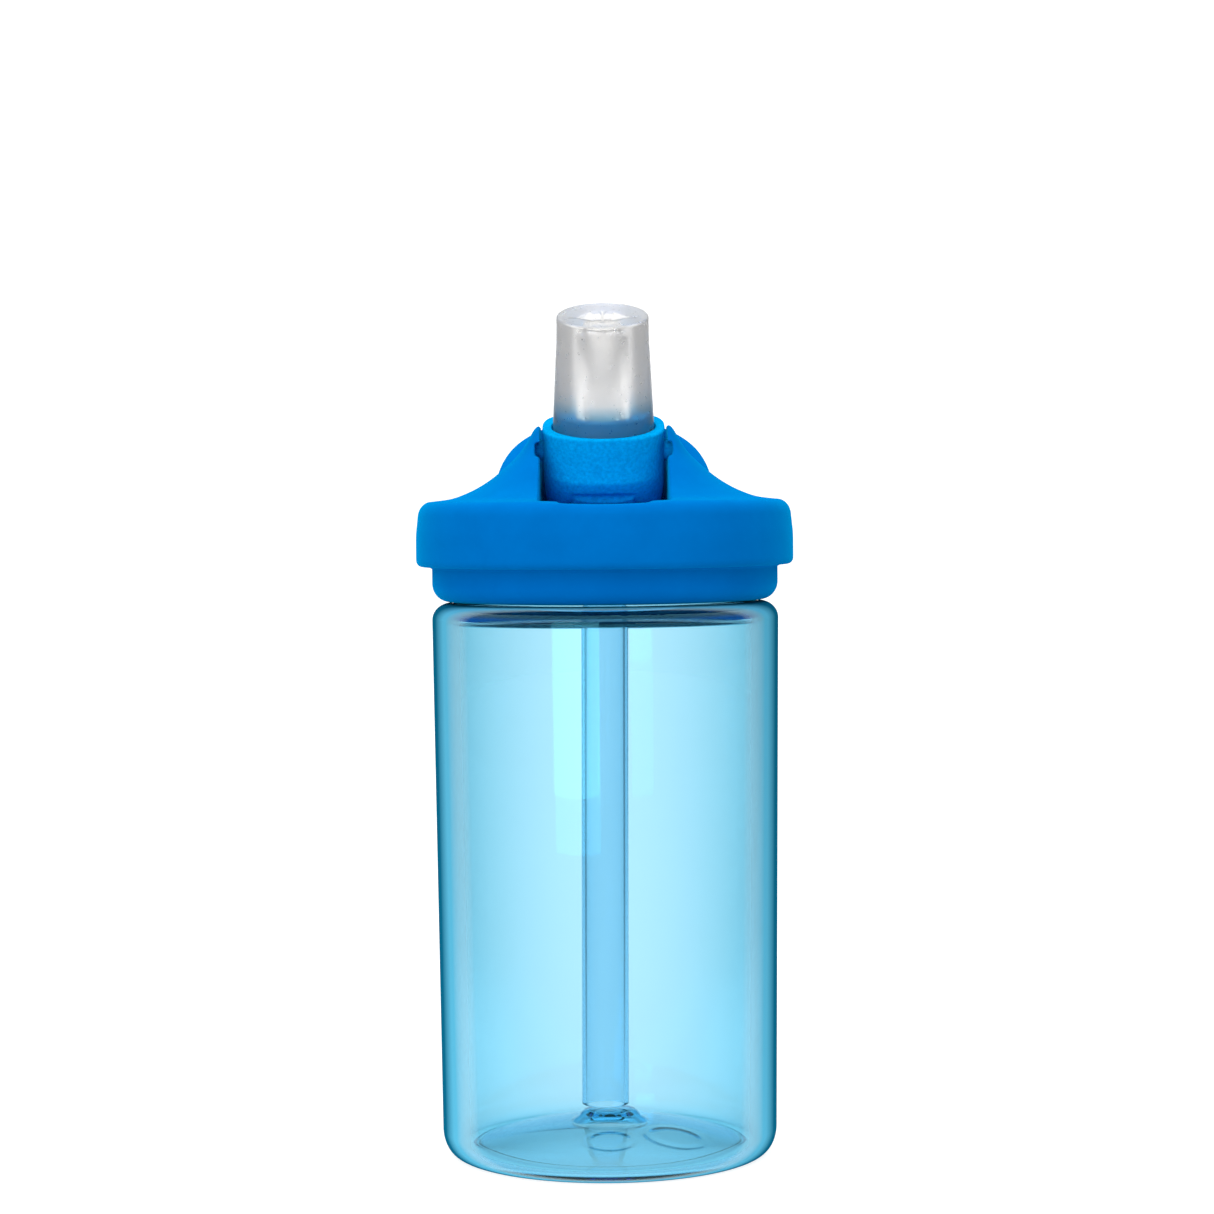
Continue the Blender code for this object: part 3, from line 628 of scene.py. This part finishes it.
def drinking_straw():
    """Clear tube with eased ends, from its socket almost to the floor."""
    profile = [(STRAW_BORE_R, STRAW_Z), (STRAW_R, STRAW_Z)]
    profile += [(STRAW_R, STRAW_TOP_Z), (STRAW_BORE_R, STRAW_TOP_Z)]
    data = turned(rounded(profile, 0.35), 96)
    for corner in data.verts:
        corner.co.x -= STRAW_TILT * (STRAW_TOP_Z * MM - corner.co.z)
    return object_of("drinking_straw", data)


# ---------------------------------------------------------------- materials


def nodes_of(name):
    made = bpy.data.materials.new(name)
    made.use_nodes = True
    tree = made.node_tree
    return made, tree, tree.nodes["Principled BSDF"]


def noise(tree, scale, detail=4.0, roughness=0.6):
    """Noise fixed to the object's own space, in features per metre."""
    where = tree.nodes.new("ShaderNodeTexCoord")
    grain = tree.nodes.new("ShaderNodeTexNoise")
    grain.inputs["Scale"].default_value = scale
    grain.inputs["Detail"].default_value = detail
    grain.inputs["Roughness"].default_value = roughness
    tree.links.new(where.outputs["Object"], grain.inputs["Vector"])
    return grain.outputs["Fac"]


def ramp(tree, value, low, high, dark, light):
    """The value's stretch from low to high, drawn out from dark to light and held at both ends."""
    made = tree.nodes.new("ShaderNodeMapRange")
    made.inputs["From Min"].default_value = low
    made.inputs["From Max"].default_value = high
    made.inputs["To Min"].default_value = dark
    made.inputs["To Max"].default_value = light
    tree.links.new(value, made.inputs["Value"])
    return made.outputs["Result"]


def patches(tree, scale, detail, spread, low=0, high=1):
    """Soft patches of noise between two values; a small spread gives them crisper edges."""
    return ramp(tree, noise(tree, scale, detail), 0.5 - spread, 0.5 + spread, low, high)


def mixed(tree, factor, one, two):
    """One where the factor is 0 and two where it is 1. Each is a colour or a socket."""
    made = tree.nodes.new("ShaderNodeMix")
    made.data_type = "RGBA"
    for side, colour in (("A", one), ("B", two)):
        if isinstance(colour, bpy.types.NodeSocket):
            tree.links.new(colour, made.inputs[side])
        else:
            made.inputs[side].default_value = (*colour, 1)
    tree.links.new(factor, made.inputs["Factor"])
    return made.outputs["Result"]


def bumps(tree, value, shader, depth, strength):
    made = tree.nodes.new("ShaderNodeBump")
    made.inputs["Strength"].default_value = strength
    made.inputs["Distance"].default_value = depth * MM
    tree.links.new(value, made.inputs["Height"])
    tree.links.new(made.outputs["Normal"], shader.inputs["Normal"])


def combined(tree, operation, one, two):
    made = tree.nodes.new("ShaderNodeMath")
    made.operation = operation
    tree.links.new(one, made.inputs[0])
    tree.links.new(two, made.inputs[1])
    return made.outputs[0]


def place_of(tree, space="Object"):
    """X, Y and Z of the point that is shaded, or, in the world's Generated space, of a direction."""
    where = tree.nodes.new("ShaderNodeTexCoord")
    split = tree.nodes.new("ShaderNodeSeparateXYZ")
    tree.links.new(where.outputs[space], split.inputs["Vector"])
    return split.outputs


def radius(tree):
    """Distance from the bottle's axis, in metres."""
    where = tree.nodes.new("ShaderNodeTexCoord")
    flat = tree.nodes.new("ShaderNodeVectorMath")
    flat.operation = "MULTIPLY"
    flat.inputs[1].default_value = (1, 1, 0)
    length = tree.nodes.new("ShaderNodeVectorMath")
    length.operation = "LENGTH"
    tree.links.new(where.outputs["Object"], flat.inputs[0])
    tree.links.new(flat.outputs[0], length.inputs[0])
    return length.outputs["Value"]


def up_the_spout(tree):
    """Distance from the hinge along the spout's own axis, in metres."""
    where = tree.nodes.new("ShaderNodeTexCoord")
    along = tree.nodes.new("ShaderNodeVectorMath")
    along.operation = "DOT_PRODUCT"
    along.inputs[1].default_value = (0, -math.sin(LEAN), math.cos(LEAN))
    tree.links.new(where.outputs["Object"], along.inputs[0])
    rise = HINGE_Z * math.cos(LEAN) * MM
    return ramp(tree, along.outputs["Value"], rise, rise + 1, 0, 1)


def on_outside(tree):
    """1 on the outer face of the heel, wall and shoulder, and 0 on the inner one."""
    z = place_of(tree)["Z"]
    heel_z, top_z, neck_z = MIDDLE_HEEL_Z * MM, SHOULDER_Z * MM, SHOULDER_TOP_Z * MM
    middle = ramp(tree, z, 0.0, heel_z, MIDDLE_FOOT_R * MM, MIDDLE_HEEL_R * MM)
    wall = ramp(tree, z, heel_z, top_z, 0, (MIDDLE_TOP_R - MIDDLE_HEEL_R) * MM)
    middle = combined(tree, "ADD", middle, wall)
    shoulder = ramp(tree, z, top_z, neck_z, 0, (MIDDLE_NECK_R - MIDDLE_TOP_R) * MM)
    middle = combined(tree, "ADD", middle, shoulder)
    past = combined(tree, "SUBTRACT", radius(tree), middle)
    return ramp(tree, past, -MIDDLE_BLUR * MM, MIDDLE_BLUR * MM, 0, 1)


def absorbing(tree, per_metre):
    """Depth colour: how much red, green and blue a metre of the material takes away."""
    most = max(per_metre)
    depth = tree.nodes.new("ShaderNodeVolumeAbsorption")
    depth.inputs["Color"].default_value = (*(1 - loss / most for loss in per_metre), 1)
    depth.inputs["Density"].default_value = most
    tree.links.new(depth.outputs["Volume"], tree.nodes["Material Output"].inputs["Volume"])


def moulded(name, shades, cloud, rough, grain):
    """Coloured moulded plastic: cloudy colour, uneven roughness and a fine surface grain.

    Its gloss is a blue sheen, since a white one would grey the colour where it is seen slantwise.
    """
    made, tree, shader = nodes_of(name)
    tree.links.new(mixed(tree, patches(tree, cloud, 3, 0.15), *shades), shader.inputs["Base Color"])
    tree.links.new(patches(tree, 260, 5, 0.2, rough - 0.05, rough + 0.06), shader.inputs["Roughness"])
    scale, depth, strength = grain
    bumps(tree, noise(tree, scale, 3, 0.55), shader, depth, strength)
    shader.inputs["Specular IOR Level"].default_value = 0.0
    shader.inputs["Sheen Weight"].default_value = SHEEN_WEIGHT
    shader.inputs["Sheen Roughness"].default_value = SHEEN_ROUGHNESS
    shader.inputs["Sheen Tint"].default_value = (*SHEEN_TINT, 1)
    return made


def shaded_inside(material):
    """Paints shade on the liner's inner wall and thread, which hardly any light reaches."""
    tree = material.node_tree
    base = tree.nodes["Principled BSDF"].inputs["Base Color"]
    outward = ramp(tree, radius(tree), LINER_PAINTED_SHADE_R[0] * MM, LINER_PAINTED_SHADE_R[1] * MM, 0, 1)
    tree.links.new(mixed(tree, outward, LINER_PAINTED_SHADE, base.links[0].from_socket), base)
    return material


def tinted_clear():
    """Blue clear plastic: its depth colours it, and its outer skin is painted with edge shade towards the
    edge, by the angle of view.
    """
    made, tree, shader = nodes_of("tinted_clear")
    facing = tree.nodes.new("ShaderNodeLayerWeight")
    facing.inputs["Blend"].default_value = 0.5
    slant = facing.outputs["Facing"]
    # Slantwise tint: partly the longer path through the tinted plastic, partly painted edge shade
    clear = mixed(tree, slant, (1, 1, 1), BOTTLE_SLANT_TINT_AND_SHADE)
    # Painted edge shade: an opaque teal on the outer skin, set by the angle of view, pale and then deep
    # towards the very edge
    painted = mixed(tree, ramp(tree, slant, *RIM_SHADE_DEEPENS, 0, 1), RIM_SHADE_PALE, RIM_SHADE_DEEP)
    rim = combined(tree, "MULTIPLY", ramp(tree, slant, *RIM_SHADE_SETS_IN, 0, 1), on_outside(tree))
    tree.links.new(mixed(tree, rim, clear, painted), shader.inputs["Base Color"])
    tree.links.new(ramp(tree, rim, 0, 1, 1, 0), shader.inputs["Transmission Weight"])
    shader.inputs["Specular IOR Level"].default_value = 0.0
    shader.inputs["IOR"].default_value = BOTTLE_IOR
    shader.inputs["Specular Tint"].default_value = (*BOTTLE_GLOSS, 1)
    tree.links.new(patches(tree, 60, 4, 0.2, 0.0, 0.03), shader.inputs["Roughness"])
    bumps(tree, noise(tree, 45, 2, 0.4), shader, 0.05, 0.08)
    absorbing(tree, BOTTLE_LOSS)
    return made


def straw_clear():
    """Clear tube with a slightly satin skin, coloured by its depth."""
    made, tree, shader = nodes_of("straw_clear")
    shader.inputs["Base Color"].default_value = (0.97, 0.985, 1, 1)
    shader.inputs["Transmission Weight"].default_value = 1
    shader.inputs["IOR"].default_value = STRAW_IOR
    tree.links.new(patches(tree, 300, 4, 0.2, 0.03, 0.09), shader.inputs["Roughness"])
    bumps(tree, noise(tree, 500, 2), shader, 0.01, 0.1)
    absorbing(tree, STRAW_LOSS)
    return made


def valve_silicone():
    """Frosted silicone with an uneven bloom on its skin, painted blue where it sits in the holder, for
    the holder seen through it.
    """
    made, tree, shader = nodes_of("valve_silicone")
    grey = mixed(tree, patches(tree, 220, 4, 0.2), *VALVE_GREYS)
    clear_of_foot = ramp(tree, up_the_spout(tree), FOOT_ENDS[0] * MM, FOOT_ENDS[1] * MM, 0, 1)
    # Painted show-through: the foot takes the holder's blue, in place of the holder seen through the
    # silicone
    tree.links.new(mixed(tree, clear_of_foot, FOOT_PAINTED_SHOW_THROUGH, grey), shader.inputs["Base Color"])
    tree.links.new(patches(tree, 900, 5, 0.2, 0.26, 0.36), shader.inputs["Roughness"])
    bumps(tree, noise(tree, 1400, 0), shader, 0.02, 0.1)
    shader.inputs["IOR"].default_value = VALVE_IOR
    shader.inputs["Transmission Weight"].default_value = 0.80
    absorbing(tree, VALVE_LOSS)
    return made


def seal_silicone():
    """Opaque grey silicone of the gasket, the spout's seal and the vent valve."""
    made, tree, shader = nodes_of("seal_silicone")
    tree.links.new(mixed(tree, patches(tree, 220, 4, 0.2), *SEAL_GREYS), shader.inputs["Base Color"])
    tree.links.new(patches(tree, 900, 5, 0.2, 0.4, 0.55), shader.inputs["Roughness"])
    bumps(tree, noise(tree, 2600, 3), shader, 0.02, 0.35)
    return made


def put(piece, material, body, slot, *nodes):
    """Finishes a piece: its material and the body that it rides on, and it hides the CAD nodes that it
    replaces. The slot, the CAD node that it stands for, is not used.
    """
    piece.data.materials.clear()
    piece.data.materials.append(material)
    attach(piece, body)
    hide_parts(*nodes)


def repaint(node, material):
    """Gives a CAD node that stays as it is a new material."""
    for material_slot in frame["nodes"][node].material_slots:
        material_slot.material = material


# ---------------------------------------------------------------- stage


def stage():
    """Grey floor that glows behind the bottle, and a room with dim sides, which draw its edges."""
    data = bmesh.new()
    bmesh.ops.create_circle(data, cap_ends=True, segments=96, radius=FLOOR_R)
    ground = object_of("floor", data, smooth=False)
    made, tree, shader = nodes_of("floor_paint")
    tree.links.new(mixed(tree, noise(tree, 3, 3), *FLOOR_GREYS), shader.inputs["Base Color"])
    shader.inputs["Roughness"].default_value = 0.9
    shader.inputs["Specular IOR Level"].default_value = 0.0
    shader.inputs["Emission Color"].default_value = (1, 1, 1, 1)
    tree.links.new(lit_wedge(tree), shader.inputs["Emission Strength"])
    ground.data.materials.append(made)
    room()
    softbox("front_light", LAMP_AT, LAMP_SIZE, LAMP_POWER)


def room():
    """World light: bright above and behind, softer in front, dim at both sides."""
    world = bpy.data.worlds.new("room")
    bpy.context.scene.world = world
    world.use_nodes = True
    tree = world.node_tree
    sky = tree.nodes["Background"]
    sky.inputs["Color"].default_value = (1, 1, 1, 1)
    direction = place_of(tree, "Generated")
    y, z = direction["Y"], direction["Z"]
    glow = ramp(tree, y, *BEHIND_EDGE, ROOM_GLOW, ROOM_GLOW + BEHIND_GLOW)
    glow = combined(tree, "ADD", glow, ramp(tree, z, *ABOVE_EDGE, 0, ABOVE_GLOW))
    glow = combined(tree, "ADD", glow, ramp(tree, y, -FRONT_EDGE[1], -FRONT_EDGE[0], FRONT_GLOW, 0))
    tree.links.new(glow, sky.inputs["Strength"])


def lit_wedge(tree):
    """Glow of the floor: a wedge that widens to the back, as a lit table does."""
    where = place_of(tree)
    side = tree.nodes.new("ShaderNodeMath")
    side.operation = "ABSOLUTE"
    tree.links.new(where["X"], side.inputs[0])
    widest = WEDGE_HALF + WEDGE_SPREAD * (FLOOR_R + CAMERA_DISTANCE)
    reach = ramp(tree, where["Y"], -CAMERA_DISTANCE, FLOOR_R, WEDGE_HALF, widest)
    over = combined(tree, "SUBTRACT", side.outputs[0], reach)
    wedge = ramp(tree, over, 0.0, WEDGE_BLUR, FLOOR_GLOW, 0.0)
    front = ramp(tree, where["Y"], *WEDGE_FRONT, 0.0, 1.0)
    return combined(tree, "MULTIPLY", wedge, front)


def softbox(name, where, size, power):
    """A square lamp that faces the bottle."""
    light = bpy.data.lights.new(name, "AREA")
    light.shape = "RECTANGLE"
    light.size, light.size_y = size
    light.energy = power
    made = bpy.data.objects.new(name, light)
    bpy.context.scene.collection.objects.link(made)
    made.location = where
    aim = Vector(LAMP_AIM) - Vector(where)
    made.rotation_euler = aim.to_track_quat("-Z", "Y").to_euler()


def camera():
    """A level camera at the photograph's distance, height and framing."""
    data = bpy.data.cameras.new("camera")
    made = bpy.data.objects.new("camera", data)
    bpy.context.scene.collection.objects.link(made)
    made.location = (0, -CAMERA_DISTANCE, CAMERA_HEIGHT)
    made.rotation_euler = (math.pi / 2, CAMERA_ROLL, 0)
    data.sensor_width = SENSOR
    data.lens = SENSOR * CAMERA_DISTANCE / FRAME_WIDTH
    data.shift_x = AXIS_SHIFT
    data.shift_y = HORIZON_SHIFT
    data.clip_start = 0.01
    bpy.context.scene.camera = made


def main():
    bpy.context.scene.view_settings.view_transform = "Standard"
    camera()
    stage()
    lid_blue = moulded("lid_blue", LID_BLUES, cloud=90, rough=0.36, grain=LID_GRAIN)
    liner_blue = moulded("liner_blue", LINER_BLUES, cloud=90, rough=0.36, grain=LINER_GRAIN)
    spout_blue = moulded("spout_blue", SPOUT_BLUES, cloud=1300, rough=0.45, grain=SPOUT_GRAIN)
    put(clear_bottle(), tinted_clear(), "bottle", "bottle_body", "bottle_body")
    put(screw_liner(), shaded_inside(liner_blue), "lid", "inner_cap", "inner_cap")
    put(cap(), lid_blue, "lid", "cap_shell", "cap_shell")
    put(spout(), spout_blue, "spout", "flip_spout", "flip_spout")
    put(mouthpiece(), valve_silicone(), "spout", "bite_valve", "bite_valve")
    put(drinking_straw(), straw_clear(), "lid", "straw", "straw")
    seal = seal_silicone()
    for node in ("lid_gasket", "spout_seal", "vent_valve"):
        repaint(node, seal)


main()
